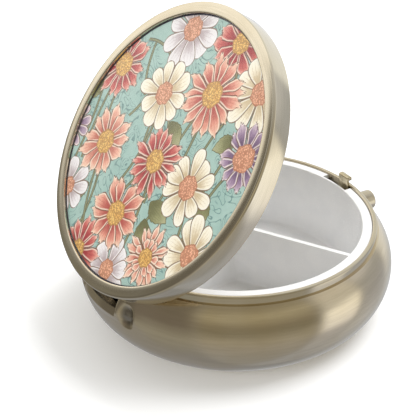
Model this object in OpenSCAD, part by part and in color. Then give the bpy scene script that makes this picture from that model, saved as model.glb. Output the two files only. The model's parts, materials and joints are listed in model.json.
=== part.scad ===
// Round travel pill box: a bulging metal base with a neck, a white tray with
// three compartments, and a hinged lid that a push button lets spring open.
// The origin is the centre of the underside, the hinge is at +Y and the button
// at -Y. The lid is drawn at lid_open, its free rest position.

/* [Base] */
// Largest radius of the bulging wall
base_r = 25; // [24:0.5:27]
// Radius of the bulge's round section
bulge_r = 8.4; // [8:0.1:8.8]
// Height of the bulge's widest line
bulge_z = 7.6; // [7.4:0.1:7.8]
// Wall thickness of the pressed shell
shell_t = 0.7; // [0.6:0.05:0.8]
// Height of the shoulder where the shell stops
shoulder_z = 13.35; // [13.2:0.05:13.4]

/* [Neck] */
// Outer radius of the neck collar
neck_r = 22.4; // [22.3:0.05:22.4]
// Radial thickness of the collar
neck_t = 0.75; // [0.7:0.05:0.8]
// Height of the collar's top edge
neck_z = 14.65; // [14.6:0.05:14.7]

/* [Tray] */
// Inner radius at the mouth
tray_mouth_r = 20.05; // [19.9:0.05:20.1]
// Inner radius at the floor
tray_floor_r = 18.9; // [18.5:0.1:19]
// Height of the floor's upper face
tray_floor_z = 3.3; // [3.1:0.1:3.5]
// Height of the rim's upper face
tray_top_z = 14.4; // [14.3:0.05:14.45]
// Wall thickness
tray_t = 0.6; // [0.5:0.05:0.7]
// Thickness of the three dividers
divider_t = 0.7; // [0.5:0.1:1]
// Height of the dividers' top edges
divider_z = 13.6; // [12:0.1:13.8]

/* [Lid] */
// Outer radius of the lid ring
lid_r = 23.15; // [23.1:0.05:23.2]
// Height of the ring from its open edge to its face
lid_h = 3.45; // [3.4:0.05:3.6]
// Height of the closed lid's open edge
lid_z = 13.95; // [13.9:0.05:14]
// Radius of the window that shows the print
window_r = 21.25; // [21:0.05:21.4]
// Rise of the clear dome in its middle
dome_rise = 0.9; // [0.5:0.1:1.2]

/* [Hinge] */
// Distance of the pin's axis from the middle
hinge_y = 20.6; // [20.55:0.05:20.65]
// Height of the pin's axis
hinge_z = 10.85; // [10.8:0.05:10.9]
// Angle at which the lid rests open
lid_open = 54.2; // [50:0.2:54.4]
// Radius of the hinge pin
pin_r = 0.45; // [0.4:0.01:0.45]
// Half width of the notch in the shell for the lid's leaf
notch_x = 4.7; // [4.6:0.1:4.8]

/* [Latch] */
// Height of the button's axis
button_z = 9.85; // [9.8:0.05:9.9]
// Radius of the button
button_r = 1.65; // [1.5:0.05:1.7]
// How far the button's face stands from the middle
button_end = 27.2; // [26.8:0.1:27.6]
// Height of the hook's top edge
hook_z = 16.2; // [16:0.05:16.2]
// Width of the hook
hook_w = 2.4; // [2:0.1:2.6]

/* [Hidden] */

bulge_x = base_r - bulge_r;              // centre radius of the bulge's section
cut = 60;                                // larger than the whole box
eps = 0.01;

// tray
tray_low_z = tray_floor_z - 0.8;         // underside of the floor
flange_t = 0.7;                          // rim thickness
flange_r = neck_r - neck_t - 0.03;       // rim outer radius, inside the collar
divider_az = [90, 210, 330];             // one divider points at the hinge

// hinge
barrel_r = 0.95;                         // knuckles round the pin
pin_gap = 0.05;                          // running clearance of the pin
leaf_w = 7.8;                            // width of the lid's leaf
leaf_t = 0.5;
spring_w = 3.4;                          // gap between the knuckles
ear_x0 = notch_x + 0.05;                 // inner face of the bracket's ears
ear_t = 0.8;
ear_r = 1.12;
sill_z = 9;                              // lower edge of the shell's notch
web_z = 7;                               // top of the web that joins the ears

// raised cheeks pressed in the shell beside the notch
cheek_r = 18.5;                          // plan radius of the cheeks
cheek_y = 7.05;                          // centre of that radius
cheek_a = 2.95;                          // radius of their section
cheek_z = 8.55;                          // height of their middle
pocket_turn = 16.6;                      // degrees from the hinge to the pocket in each cheek
pocket_w = 2.2;
pocket_h = 2.7;
pocket_z = 8.9;
pocket_r = 24.42;                        // how far from the middle the pocket's floor lies

// latch
travel = 0.55;                           // how far the button moves in
hook_y = 21.05;                          // inner face of the hook plate
hook_t = 0.45;
nose = 0.5;                              // reach of the hook's nose
nose_z = 15.55;                          // underside of the nose
stem_r = 0.6;
button_in = 24.6;                        // inner end of the button's head
bush_r = 2.4;
bush_y0 = 22.5;                          // inner end of the bush
bush_y1 = 24.05;                         // outer end of the bush
guide_x = hook_w / 2 + 0.1;              // inner faces of the guide's rails

// lid
skirt_t = 0.5;
lid_top = lid_z + lid_h;
plate_z = lid_top - 1.05;                // underside of the backing plate
plate_t = 0.3;
card_t = 0.2;
dome_edge = 0.15;
lip_z = neck_z + 0.3;                    // underside of the catch lip
lip_t = 0.4;
lip_r = 21.75;                           // inner radius of the catch lip

gold = [0.62, 0.56, 0.44];
dark_gold = [0.5, 0.45, 0.36];
steel = [0.7, 0.7, 0.7];

// Turns a lid part from its closed place to lid_open about the hinge pin.
module opened() {
    translate([0, hinge_y, hinge_z])
        rotate([-lid_open, 0, 0])
            translate([0, -hinge_y, -hinge_z])
                children();
}

// A flat ring, or a disc when r_in is 0.
module ring(r_out, r_in, z0, h, fn = 128) {
    translate([0, 0, z0])
        difference() {
            cylinder(r = r_out, h = h, $fn = fn);
            if (r_in > 0)
                translate([0, 0, -1])
                    cylinder(r = r_in, h = h + 2, $fn = fn);
        }
}

// A cylinder along Y, from y0 to y1.
module y_rod(r, y0, y1, z, fn = 48) {
    translate([0, y0, z])
        rotate([-90, 0, 0])
            cylinder(r = r, h = y1 - y0, $fn = fn);
}

// A cylinder along X, from x0 to x1, at the hinge's axis.
module x_rod(r, x0, x1, y = hinge_y, z = hinge_z, fn = 48) {
    translate([x0, y, z])
        rotate([0, 90, 0])
            cylinder(r = r, h = x1 - x0, $fn = fn);
}

// A block given by its two corners.
module block(lo, hi) {
    translate(lo)
        cube(hi - lo);
}

// A wire wound as a helix about Z, as one closed solid.
// r: radius of the wire's centre line, wire: radius of the wire
module coil(r, wire, turns, height, sides = 8, steps = 20) {
    n = ceil(turns * steps);
    rings = [for (i = [0:n])
        let (a = 360 * turns * i / n, z = height * i / n)
            [for (k = [0:sides - 1])
                let (b = 360 * k / sides, q = r + wire * cos(b))
                    [q * cos(a), q * sin(a), z + wire * sin(b)]]];
    points = [for (ring_points = rings) for (p = ring_points) p];
    walls = [for (i = [0:n - 1]) for (k = [0:sides - 1])
        let (m = (k + 1) % sides)
            [i * sides + k, i * sides + m, (i + 1) * sides + m, (i + 1) * sides + k]];
    start = [[for (k = [sides - 1:-1:0]) k]];
    end = [[for (k = [0:sides - 1]) n * sides + k]];
    polyhedron(points = points, faces = concat(walls, start, end), convexity = 8);
}

// ---------------------------------------------------------------- base

// Half section of the pressed shell: floor disc and bulging wall.
module shell_section() {
    difference() {
        intersection() {
            translate([bulge_x, bulge_z])
                circle(r = bulge_r, $fn = 128);
            square([cut, shoulder_z]);
        }
        intersection() {
            translate([bulge_x, bulge_z])
                circle(r = bulge_r - shell_t, $fn = 128);
            translate([0, shell_t])
                square([cut, cut]);
        }
        translate([0, shell_t])
            square([bulge_x, cut]);
        translate([0, shoulder_z - 1.5])
            square([neck_r, cut]);
    }
    square([bulge_x, shell_t]);
}

// Solid of the raised cheeks, to be joined to the shell.
module cheek_solid(inset = 0) {
    intersection() {
        translate([0, cheek_y, cheek_z])
            rotate_extrude($fn = 128)
                translate([cheek_r - cheek_a, 0])
                    circle(r = cheek_a - inset, $fn = 64);
        block([-10.5, 17, 5], [10.5, 30, 12]);
    }
}

// Rounded pocket pressed in one cheek.
module cheek_pocket(side) {
    r = 0.8;
    x = pocket_w / 2 - r;
    z = pocket_h / 2 - r;
    rotate([0, 0, -side * pocket_turn])
        translate([0, pocket_r, pocket_z])
            rotate([-90, 0, 0])
                linear_extrude(6)
                    for (a = [-x, x]) {
                        for (b = [-z, z])
                            translate([a, b])
                                circle(r = r, $fn = 32);
                        square([2 * x, 2 * (z + r)], center = true);
                        square([2 * (x + r), 2 * z], center = true);
                    }
}

module base_shell() {
    color(gold)
        difference() {
            union() {
                rotate_extrude($fn = 128)
                    shell_section();
                difference() {
                    cheek_solid();
                    rotate_extrude($fn = 128)
                        translate([bulge_x, bulge_z])
                            circle(r = bulge_r - shell_t, $fn = 128);
                }
            }
            block([-notch_x, 18, sill_z], [notch_x, 30, cut]);
            for (side = [-1, 1])
                cheek_pocket(side);
            y_rod(button_r + 0.25, -30, -20, button_z);
        }
}

module neck_collar() {
    round_r = 0.2;
    color(gold)
        rotate_extrude($fn = 128)
            translate([neck_r - neck_t, 0]) {
                translate([0, shoulder_z - 1.3])
                    square([neck_t, neck_z - round_r - shoulder_z + 1.3]);
                translate([round_r, neck_z - round_r - eps])
                    square([neck_t - 2 * round_r, round_r + eps]);
                for (x = [round_r, neck_t - round_r])
                    translate([x, neck_z - round_r])
                        circle(r = round_r, $fn = 32);
            }
}

// Inner radius of the tray's tapered wall at height z.
function tray_r(z) =
    tray_floor_r + (tray_mouth_r - tray_floor_r) * (z - tray_floor_z) / (tray_top_z - tray_floor_z);

// Half section of the tray: floor, tapered wall and rim flange.
module tray_section() {
    flange_z = tray_top_z - flange_t;
    ease = 0.7;
    polygon([
        [0, tray_low_z], [tray_floor_r, tray_low_z], [tray_floor_r + tray_t, tray_floor_z],
        [tray_r(flange_z) + tray_t, flange_z], [flange_r, flange_z], [flange_r, tray_top_z - 0.15],
        [flange_r - 0.15, tray_top_z], [tray_mouth_r + 0.15, tray_top_z],
        [tray_mouth_r - 0.02, tray_top_z - 0.2],
        [tray_r(tray_floor_z + ease), tray_floor_z + ease],
        [tray_floor_r - 0.2, tray_floor_z + 0.2], [tray_floor_r - ease, tray_floor_z],
        [0, tray_floor_z]]);
}

// The wall steps inwards behind the hinge, where it leaves room for the knuckles.
module tray_hinge_bay(grow) {
    block([-6.5 + grow, 19.35 - grow, tray_low_z + grow * 1.4], [6.5 - grow, 21, 13.35]);
}

module pill_tray() {
    color("white")
        difference() {
            union() {
                difference() {
                    rotate_extrude($fn = 128)
                        tray_section();
                    tray_hinge_bay(0);
                }
                intersection() {
                    difference() {
                        ring(tray_mouth_r, 0, tray_low_z, 13.35 + tray_t - tray_low_z);
                        tray_hinge_bay(0);
                    }
                    block([-7, 19.35 - tray_t, tray_low_z + 0.5], [7, 21, 13.35 + tray_t]);
                    union() {
                        block([-7, 18, 0], [7, 19.35, 20]);
                        block([-7, 18, 13.35], [7, 21, 20]);
                    }
                }
                for (a = divider_az)
                    intersection() {
                        rotate([0, 0, a])
                            block([0, -divider_t / 2, tray_floor_z - 0.3],
                                  [tray_mouth_r, divider_t / 2, divider_z]);
                        translate([0, 0, tray_floor_z - 0.3])
                            cylinder(r1 = tray_floor_r, r2 = tray_mouth_r, h = 11.2, $fn = 128);
                        block([-cut, -cut, 0], [cut, 19.2, 20]);
                    }
            }
            // room behind the hook, and the gap in the flange that it stands in
            block([-hook_w / 2 - 0.4, -23, 7], [hook_w / 2 + 0.4, -20.4, 20]);
            // room for the end of the button's stem when it is pressed
            block([-1.3, -23, 8.5], [1.3, -20.05, 11.2]);
            intersection() {
                block([-hook_w / 2 - 0.4, -23, 13], [4.1, -19, 20]);
                ring(23, 20.4, 13, 3);
            }
        }
}

// ---------------------------------------------------------------- hinge

module ear_plate(side) {
    x0 = side > 0 ? ear_x0 : -ear_x0 - ear_t;
    difference() {
        union() {
            x_rod(ear_r, x0, x0 + ear_t);
            block([x0, hinge_y - ear_r, shell_t], [x0 + ear_t, hinge_y + ear_r, hinge_z]);
        }
        x_rod(pin_r, x0 - 1, x0 + ear_t + 1);
    }
}

module hinge_bracket() {
    foot_z = shell_t;
    x1 = ear_x0 + ear_t;
    color(steel)
        difference() {
            union() {
                for (side = [-1, 1])
                    ear_plate(side);
                block([-x1, hinge_y - ear_r, foot_z], [x1, hinge_y - ear_r + 0.5, web_z]);
                block([-x1, 15.4, foot_z], [x1, hinge_y, foot_z + 0.5]);
            }
            rotate_extrude($fn = 96)
                difference() {
                    translate([18, 0])
                        square([10, 9]);
                    translate([bulge_x, bulge_z])
                        circle(r = bulge_r - shell_t - 0.05, $fn = 96);
                }
            for (x = [-4, 4])
                translate([x, 17, 0])
                    cylinder(r = 0.6, h = 3, $fn = 24);
        }
}

module bracket_rivets() {
    color(steel)
        for (x = [-4, 4])
            translate([x, 17, shell_t]) {
                cylinder(r = 0.6, h = 0.55, $fn = 24);
                translate([0, 0, 0.5])
                    cylinder(r = 1, h = 0.4, $fn = 32);
            }
}

module hinge_pin() {
    head_x = ear_x0 + ear_t + 0.02;
    color(steel) {
        x_rod(pin_r, -head_x - 0.3, head_x + 0.3);
        x_rod(0.8, -head_x - 0.4, -head_x);
        x_rod(0.8, head_x, head_x + 0.4);
    }
}

module torsion_spring() {
    color(steel)
        translate([-1.35, hinge_y, hinge_z])
            rotate([0, 90, 0])
                coil(0.7, 0.15, 6, 2.7);
}

module hinge_leaf() {
    y_out = hinge_y + 2.5;
    inner = leaf_t + 0.05;
    color(gold)
        opened()
            difference() {
                union() {
                    x_rod(barrel_r, -leaf_w / 2, leaf_w / 2);
                    block([-leaf_w / 2, hinge_y, hinge_z - barrel_r],
                          [leaf_w / 2, y_out, hinge_z - barrel_r + leaf_t]);
                    block([-leaf_w / 2, y_out - leaf_t, hinge_z - barrel_r],
                          [leaf_w / 2, y_out, lid_z + 0.7]);
                    block([-leaf_w / 2, y_out - 2 * inner, lid_z + 0.95],
                          [leaf_w / 2, y_out - inner, plate_z - 0.1]);
                    block([-leaf_w / 2, y_out - 2 * inner, lid_z + 0.95],
                          [leaf_w / 2, y_out - leaf_t + eps, lid_z + 1.3]);
                    block([-leaf_w / 2, y_out - leaf_t, lid_z + 0.6],
                          [leaf_w / 2, y_out, lid_z + 1.3]);
                }
                x_rod(pin_r + pin_gap, -10, 10);
                x_rod(barrel_r + 0.1, -spring_w / 2, spring_w / 2);
                // outside of the skirt, and the skirt itself above its notch
                rotate_extrude($fn = 128) {
                    translate([lid_r, 0])
                        square([5, 30]);
                    translate([lid_r - skirt_t - 0.04, lid_z + 1.32])
                        square([5, 30]);
                }
            }
}

// ---------------------------------------------------------------- latch

module button_bush() {
    color(steel)
        difference() {
            y_rod(bush_r, -bush_y1, -bush_y0, button_z);
            y_rod(button_r + 0.1, -30, -bush_y0 - 0.4, button_z);
            y_rod(stem_r + 0.06, -30, -15, button_z);
            rotate_extrude($fn = 96)
                difference() {
                    translate([18, 0])
                        square([12, 16]);
                    translate([bulge_x, bulge_z])
                        circle(r = bulge_r - shell_t - 0.03, $fn = 96);
                }
        }
}

module push_button() {
    dome = 0.35;
    color(gold) {
        y_rod(button_r, -button_end + dome, -button_in, button_z);
        y_rod(button_r - dome, -button_end, -button_in, button_z);
        translate([0, -button_end + dome, button_z])
            rotate([90, 0, 0])
                rotate_extrude($fn = 48)
                    translate([button_r - dome, 0])
                        intersection() {
                            circle(r = dome, $fn = 32);
                            square([1, 1]);
                        }
        y_rod(stem_r, -button_in, -hook_y + 0.4, button_z);
    }
}

module latch_hook() {
    w = hook_w / 2;
    tip_r = 0.35;
    color(gold)
        difference() {
            union() {
                block([-w, -hook_y - hook_t, 7.6], [w, -hook_y, hook_z - tip_r]);
                block([-w, -hook_y - hook_t, hook_z - tip_r - eps], [w, -hook_y - tip_r, hook_z]);
                intersection() {
                    x_rod(tip_r, -w, w, -hook_y - tip_r, hook_z - tip_r, 32);
                    block([-w, -hook_y - tip_r - eps, hook_z - tip_r - eps], [w, -hook_y, hook_z]);
                }
                block([-w, -hook_y - hook_t - nose, nose_z], [w, -hook_y - hook_t + eps, hook_z - 0.3]);
                block([-w, -hook_y - hook_t - nose + 0.3, nose_z], [w, -hook_y - hook_t + eps, hook_z]);
            }
            y_rod(stem_r, -30, -15, button_z);
        }
}

module stem_washer() {
    color(steel)
        difference() {
            y_rod(1, -hook_y, -hook_y + 0.25, button_z);
            y_rod(stem_r, -30, -15, button_z);
        }
}

module latch_spring() {
    height = button_in - bush_y0 - 0.4 - 0.3;
    color(steel)
        translate([0, -bush_y0 - 0.4 - 0.15, button_z])
            rotate([90, 0, 0])
                coil(1.15, 0.13, 3.5, height);
}

module latch_guide() {
    rail = 0.6;
    x1 = guide_x + rail;
    y0 = -hook_y - hook_t - 0.5;
    y1 = -hook_y + travel + 0.05;
    web_y = y1 - 0.5;
    foot_z = shell_t;
    color(steel)
        difference() {
            union() {
                for (side = [-1, 1])
                    block([side > 0 ? guide_x : -x1, y0, foot_z], [side > 0 ? x1 : -guide_x, y1, 12]);
                block([-x1, web_y, foot_z], [x1, y1, 7.2]);
                block([-4.6, -19.9, foot_z], [4.6, -15.4, foot_z + 0.5]);
                block([-x1, web_y, foot_z], [x1, -18, foot_z + 0.5]);
            }
            rotate_extrude($fn = 96)
                difference() {
                    translate([18, 0])
                        square([12, 16]);
                    translate([bulge_x, bulge_z])
                        circle(r = bulge_r - shell_t - 0.05, $fn = 96);
                }
            for (x = [-3.6, 3.6])
                translate([x, -17, 0])
                    cylinder(r = 0.6, h = 3, $fn = 24);
        }
}

module guide_rivets() {
    color(steel)
        for (x = [-3.6, 3.6])
            translate([x, -17, shell_t]) {
                cylinder(r = 0.6, h = 0.55, $fn = 24);
                translate([0, 0, 0.5])
                    cylinder(r = 0.9, h = 0.4, $fn = 32);
            }
}

// ---------------------------------------------------------------- lid

module lid_ring() {
    edge = 0.3;
    face_t = 0.45;
    color(gold)
        opened()
            difference() {
                rotate_extrude($fn = 160) {
                    translate([lid_r - skirt_t, lid_z])
                        square([skirt_t, lid_h - edge]);
                    translate([window_r, lid_top - face_t])
                        square([lid_r - edge - window_r, face_t]);
                    translate([lid_r - edge, lid_top - edge])
                        circle(r = edge, $fn = 32);
                }
                block([-leaf_w / 2 - 0.1, 18, lid_z - 1], [leaf_w / 2 + 0.1, 26, lid_z + 1.35]);
            }
}

module lid_backing_plate() {
    color(dark_gold)
        opened()
            ring(lid_r - skirt_t, 0, plate_z, plate_t);
}

module picture_card() {
    color([0.69, 0.82, 0.78])
        opened()
            ring(lid_r - skirt_t - 0.1, 0, plate_z + plate_t, card_t);
}

module clear_dome() {
    r = window_r - 0.05;
    z0 = plate_z + plate_t + card_t;
    ball = (r * r + dome_rise * dome_rise) / (2 * dome_rise);
    rings = 12;
    crown = [for (i = [rings:-1:0])
        let (x = r * i / rings)
            [x, z0 + dome_edge + dome_rise - ball + sqrt(ball * ball - x * x)]];
    color([0.9, 0.95, 1, 0.3])
        opened()
            rotate_extrude($fn = 128)
                polygon(concat([[0, z0], [r, z0]], crown));
}

module catch_plate() {
    half = 4;
    color(dark_gold)
        opened()
            intersection() {
                union() {
                    ring(lid_r - skirt_t, lip_r, lip_z, lip_t);
                    ring(lid_r - skirt_t, lid_r - skirt_t - 0.35, lip_z, plate_z - lip_z);
                }
                block([-half, -26, lip_z - 1], [half, -18, plate_z + 1]);
            }
}

base_shell();
neck_collar();
pill_tray();
hinge_bracket();
hinge_pin();
torsion_spring();
bracket_rivets();
button_bush();
latch_guide();
guide_rivets();
push_button();
latch_hook();
stem_washer();
latch_spring();
lid_ring();
lid_backing_plate();
picture_card();
clear_dome();
hinge_leaf();
catch_plate();
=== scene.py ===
"""Round travel pill box in antique bronze, with a white tray and a flower print under a dome.

Everything is in metres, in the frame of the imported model. The lid's pieces are built
closed and then turned open about the hinge pin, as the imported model's lid is.
"""

import json
import logging
import random
from dataclasses import dataclass, field
from enum import Enum
from functools import partialmethod
from math import acos, asin, atan2, cos, degrees, hypot, pi, radians, sin, sqrt
from typing import Callable, Optional, Sequence, Union

import bmesh
import bpy
from bmesh.types import BMEdge, BMesh, BMVert
from bpy.types import Material, Object
from mathutils import Matrix, Vector


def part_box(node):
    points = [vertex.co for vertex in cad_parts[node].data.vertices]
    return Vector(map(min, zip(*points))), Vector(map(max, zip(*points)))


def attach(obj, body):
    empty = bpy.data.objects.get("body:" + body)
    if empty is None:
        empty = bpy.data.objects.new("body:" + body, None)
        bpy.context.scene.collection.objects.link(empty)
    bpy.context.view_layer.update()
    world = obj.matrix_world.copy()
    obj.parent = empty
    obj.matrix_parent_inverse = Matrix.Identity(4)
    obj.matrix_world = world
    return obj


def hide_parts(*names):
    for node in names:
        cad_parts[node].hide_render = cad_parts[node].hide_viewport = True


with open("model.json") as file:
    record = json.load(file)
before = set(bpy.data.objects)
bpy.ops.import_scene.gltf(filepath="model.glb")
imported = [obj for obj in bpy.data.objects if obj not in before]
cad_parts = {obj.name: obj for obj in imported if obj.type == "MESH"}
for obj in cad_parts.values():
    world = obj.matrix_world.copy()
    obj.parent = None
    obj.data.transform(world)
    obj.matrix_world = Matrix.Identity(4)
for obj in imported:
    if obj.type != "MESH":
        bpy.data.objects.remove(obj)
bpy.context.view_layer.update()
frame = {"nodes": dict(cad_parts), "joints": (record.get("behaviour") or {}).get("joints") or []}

MM = 0.001
FULL_TURN = 2 * pi
LOG = logging.getLogger("pill_box")
MARKS = ("edge", "along", "across")
CLOSE = 1e-4
Pair = tuple[float, float]
Triple = tuple[float, float, float]
Colour = Triple
Value = Union["Signal", float]


# ---- measures


def reach(node: str, axis: int, side: int = 1) -> float:
    """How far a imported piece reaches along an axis, in millimetres."""
    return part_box(node)[1 if side > 0 else 0][axis] / MM


def measured(node: str, axis: int, side: int = 1) -> float:
    """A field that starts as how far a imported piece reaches."""
    return field(default_factory=lambda: reach(node, axis, side))


def mid_height(node: str) -> float:
    """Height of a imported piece's middle, in millimetres."""
    return (reach(node, 2) + reach(node, 2, -1)) / 2


HINGE = next(j for j in frame["joints"] if j["name"] == "lid_hinge")
HINGE_POINT = Vector(HINGE["pos_m"])
OPENING = radians(HINGE["range_deg"][1])
OPENED = (
    Matrix.Translation(HINGE_POINT)
    @ Matrix.Rotation(-OPENING, 4, Vector(HINGE["axis"]))
    @ Matrix.Translation(-HINGE_POINT)
)


class Slot(Enum):
    """Material slots of the pieces that are built here."""

    BODY = "metal_body"
    TRIM = "metal_trim"
    LID = "metal_lid"
    HOOK = "metal_hook"
    TRAY = "tray_plastic"
    CARD = "print_card"
    RESIN = "clear_resin"


class Body(Enum):
    """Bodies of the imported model."""

    BASE = "base"
    LID = "lid"
    BUTTON = "button"


# ---- shader maths


class Signal:
    """A value or colour on its way through a material, with arithmetic."""

    def __init__(self, shader: "Shader", socket: bpy.types.NodeSocket) -> None:
        self.shader = shader
        self.socket = socket

    def math(self, operation: str, *others: Value) -> "Signal":
        """One Math node with this value first."""
        return self.shader.node("Math", dict(enumerate((self, *others))), operation=operation)

    __add__ = partialmethod(math, "ADD")
    __sub__ = partialmethod(math, "SUBTRACT")
    __mul__ = partialmethod(math, "MULTIPLY")
    __truediv__ = partialmethod(math, "DIVIDE")
    __pow__ = partialmethod(math, "POWER")
    wave = partialmethod(math, "SINE")
    size = partialmethod(math, "ABSOLUTE")

    def ramp(self, start: float, end: float, low: float = 0.0, high: float = 1.0) -> "Signal":
        """A smooth step from low to high as this value goes from start to end."""
        values = {"Value": self, "From Min": start, "From Max": end, "To Min": low, "To Max": high}
        return self.shader.node("MapRange", values, interpolation_type="SMOOTHSTEP", clamp=True)

    def band(self, limits: Pair, soft: float) -> "Signal":
        """1 between two limits and 0 outside them, over a soft width about each limit."""
        (low, high), half = limits, soft / 2
        return self.ramp(low - half, low + half) * self.ramp(high - half, high + half, 1.0, 0.0)

    def output(self, name: str) -> "Signal":
        """Another output of the node that this value comes from."""
        return Signal(self.shader, self.socket.node.outputs[name])


class Shader:
    """A material, or a sky, that is built node by node."""

    def __init__(self, name: str, sky: bool = False) -> None:
        self.owner = (bpy.data.worlds if sky else bpy.data.materials).new(name)
        self.owner.use_nodes = True
        self.tree = self.owner.node_tree
        self.tree.nodes.clear()
        self.ending = "ShaderNodeOutputWorld" if sky else "ShaderNodeOutputMaterial"

    def node(self, kind: str, values: Optional[dict] = None, output: Union[int, str] = 0,
             **settings: object) -> Signal:
        """Adds a node.

        Args:
            kind: the node's type, without the words that all types start with.
            values: numbers, colours or signals for its sockets, by name or place.
            output: the output that is handed on.
            settings: its own settings, and "stops" for a ramp, which are set first.

        Returns:
            The node's output as a signal.
        """
        made = self.tree.nodes.new("ShaderNode" + kind)
        for key, value in settings.items():
            if key == "stops":
                ramp = made.color_ramp
                while len(ramp.elements) < len(value):
                    ramp.elements.new(0.5)
                for element, (place, colour) in zip(ramp.elements, value):
                    element.position = place
                    element.color = (*colour, 1.0)
            else:
                setattr(made, key, value)
        for key, value in (values or {}).items():
            socket = made.inputs[key]
            if isinstance(value, Signal):
                self.tree.links.new(value.socket, socket)
            elif isinstance(value, tuple) and len(socket.default_value) == 4:
                socket.default_value = (*value, 1.0)
            else:
                socket.default_value = value
        return Signal(self, made.outputs[output])

    def places(self, scale: Triple = (1, 1, 1)) -> Signal:
        """The piece's own coordinates in millimetres, stretched by scale."""
        here = self.node("TexCoord", output="Object")
        return self.node("Mapping", {"Vector": here, "Scale": tuple(s / MM for s in scale)})

    def attribute(self, name: str) -> Signal:
        """A number that the mesh carries."""
        return self.node("Attribute", output="Fac", attribute_name=name)

    def vector(self, x: Value, y: Value, z: Value) -> Signal:
        """Three values as a vector."""
        return self.node("CombineXYZ", {0: x, 1: y, 2: z})

    def gradient(self, share: Signal, stops: Sequence[tuple[float, Colour]]) -> Signal:
        """The colour that lies at a share of the way through the stops."""
        return self.node("ValToRGB", {"Fac": share}, stops=stops)

    def noise(self, where: Signal, scale: float, detail: float = 2.0, rough: float = 0.5,
              twist: float = 0.0) -> Signal:
        """Cloudy noise from 0 to 1."""
        values = {"Vector": where, "Scale": scale, "Detail": detail, "Roughness": rough,
                  "Distortion": twist}
        return self.node("TexNoise", values)

    def mix(self, share: Value, a: Union[Signal, Colour], b: Union[Signal, Colour]) -> Signal:
        """Mixes two colours, a where share is 0 and b where it is 1."""
        return self.node("Mix", {0: share, 6: a, 7: b}, 2, data_type="RGBA", clamp_factor=True)

    def bump(self, height: Signal, depth_mm: float, strength: float = 1.0,
             under: Optional[Signal] = None) -> Signal:
        """A normal from a height of 0 to 1 that stands for depth_mm."""
        values = {"Height": height, "Distance": depth_mm * MM, "Strength": strength}
        if under is not None:
            values["Normal"] = under
        return self.node("Bump", values)

    def surface(self, **values: object) -> Material:
        """Ends the material in a Principled shader whose sockets get the values.

        Args:
            values: socket names with underscores for spaces.

        Returns:
            The finished material.
        """
        named = {key.replace("_", " "): value for key, value in values.items()}
        return self.finish(self.node("BsdfPrincipled", named))

    def finish(self, shader: Signal) -> bpy.types.ID:
        """Joins a shader to the output and returns the material or sky."""
        end = self.tree.nodes.new(self.ending)
        self.tree.links.new(shader.socket, end.inputs["Surface"])
        return self.owner


# ---- finishes


@dataclass(frozen=True)
class BrushedMetal:
    """Satin metal with fine lines that run round a turned piece, along its path attribute."""

    name: str
    colour: Colour = (0.68, 0.59, 0.44)
    warm: Colour = (0.63, 0.53, 0.36)
    roughness: float = 0.17
    line_depth: float = 0.0003
    lines_per_mm: float = 6.0
    streaks: float = 2.4
    streak_share: float = 0.05
    line: Colour = (0.2, 0.16, 0.1)
    # painted shade: the dark grey that the pockets are darkened towards
    pocket_painted_shade: Colour = (0.13, 0.125, 0.12)

    def make(self) -> Material:
        """Builds the material."""
        sh = Shader(self.name)
        turn = sh.attribute("turn") * FULL_TURN
        path = sh.attribute("path")

        def lines(round_it: float, along: float, detail: float, rough: float) -> Signal:
            """Noise drawn out round the piece, and fine along its section."""
            x, y = (angle.wave() * round_it for angle in (turn, turn + pi / 2))
            return sh.noise(sh.vector(x, y, path * along), 1.0, detail, rough)

        grain = lines(2.2, self.lines_per_mm, 2.0, 0.6)
        streak = lines(4.0, self.streaks, 3.0, 0.65)
        cloud = sh.noise(sh.places(), 0.12, 2.0)
        pits = sh.noise(sh.places(), 6.0, 2.0, 0.7)
        tone = sh.mix(cloud.ramp(0.35, 0.7, 0.0, 0.6), self.colour, self.warm)
        tone = sh.mix(streak.ramp(0.38, 0.68, 0.0, self.streak_share), tone, self.line)
        tone = sh.mix(grain.ramp(0.4, 0.75, 0.0, 0.05), tone, self.line)
        # Painted shade: the pockets darken by their depth, read from the recess attribute.
        tone = sh.mix(sh.attribute("recess").ramp(0.15, 0.95, 0.0, 0.62), tone, self.pocket_painted_shade)
        rough = grain.ramp(0.3, 0.7, self.roughness - 0.03, self.roughness + 0.04)
        relief = sh.bump(grain, self.line_depth, 0.7)
        relief = sh.bump(pits, 0.0006, 0.35, relief)
        return sh.surface(Base_Color=tone, Metallic=1.0, Roughness=rough, Normal=relief)


@dataclass(frozen=True)
class DrawnMetal:
    """Metal of small stamped or drawn pieces, with lines along one direction."""

    name: str
    colour: Colour
    dark: Colour
    roughness: float = 0.3
    stretch: Triple = (0.6, 0.6, 6.0)
    relief: float = 0.003

    def make(self) -> Material:
        """Builds the material."""
        sh = Shader(self.name)
        lines = sh.noise(sh.places(self.stretch), 1.0, 3.0, 0.6)
        stain = sh.noise(sh.places(), 0.7, 3.0, 0.6)
        fleck = sh.noise(sh.places(), 9.0, 1.0)
        tone = sh.mix(stain.ramp(0.35, 0.7), self.colour, self.dark)
        tone = sh.mix(lines.ramp(0.3, 0.8, 0.0, 0.35), tone, self.dark)
        rough = lines.ramp(0.25, 0.75, self.roughness - 0.06, self.roughness + 0.08)
        rough = rough + fleck.ramp(0.5, 0.8, 0.0, 0.06)
        return sh.surface(Base_Color=tone, Metallic=1.0, Roughness=rough,
                          Normal=sh.bump(lines, self.relief, 0.8))


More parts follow.
